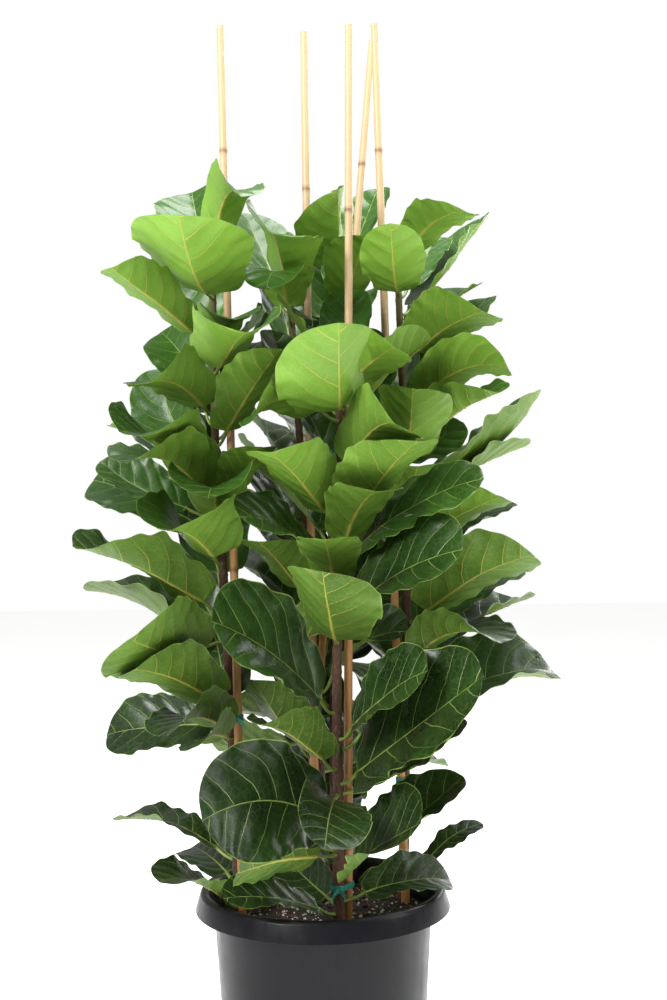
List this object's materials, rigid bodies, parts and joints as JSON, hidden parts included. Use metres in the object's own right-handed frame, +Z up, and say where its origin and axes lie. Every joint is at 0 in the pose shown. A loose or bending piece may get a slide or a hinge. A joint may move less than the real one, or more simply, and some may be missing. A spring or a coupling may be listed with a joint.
{
  "type": "potted fiddle leaf fig",
  "caption": "Tall fiddle leaf fig in a round black nursery pot, its woody stems tied to bamboo canes, with large waxy waisted leaves.",
  "frame": {"origin": "centre of the pot's flat base, on the floor", "axes": "+Z up the canes, -Y towards the plant's front, +X to the right seen from the front"},
  "size_m": [0.6968, 0.6051, 1.534],
  "materials": {
    "pot_plastic": "satin",
    "potting_mix": "loose, matt",
    "bamboo": "satin",
    "bark": "rough",
    "garden_tape": "satin",
    "leaf": "waxy"
  },
  "bodies": {
    "root": {"cane_1": "bamboo", "cane_2": "bamboo", "cane_3": "bamboo", "cane_4": "bamboo", "cane_5": "bamboo", "leaf_a10": "leaf", "leaf_a11": "leaf", "leaf_a13": "leaf", "leaf_a14": "leaf", "leaf_a15": "leaf", "leaf_a16": "leaf", "leaf_a19": "leaf", "leaf_a2": "leaf", "leaf_a3": "leaf", "leaf_a4": "leaf", "leaf_a5": "leaf", "leaf_a6": "leaf", "leaf_a7": "leaf", "leaf_b1": "leaf", "leaf_b11": "leaf", "leaf_b12": "leaf", "leaf_b13": "leaf", "leaf_b15": "leaf", "leaf_b17": "leaf", "leaf_b18": "leaf", "leaf_b2": "leaf", "leaf_b21": "leaf", "leaf_b5": "leaf", "leaf_b7": "leaf", "leaf_b9": "leaf", "leaf_c1": "leaf", "leaf_d1": "leaf", "leaf_d13": "leaf", "leaf_d17": "leaf", "leaf_d19": "leaf", "leaf_d2": "leaf", "leaf_d6": "leaf", "leaf_d68": "leaf", "leaf_d7": "leaf", "leaf_d70": "leaf", "leaf_d8": "leaf", "leaf_d9": "leaf", "leaf_e51": "leaf", "leaf_e52": "leaf", "leaf_e53": "leaf", "leaf_e54": "leaf", "pot": "pot_plastic", "soil": "potting_mix", "stem_a": "bark", "stem_b": "bark", "stem_c": "bark", "stem_d": "bark", "stem_e": "bark", "tie_1": "garden_tape", "tie_2": "garden_tape", "tie_3": "garden_tape", "tie_4": "garden_tape", "tie_5": "garden_tape", "tie_6": "garden_tape", "tie_7": "garden_tape"}
  },
  "joints": []
}
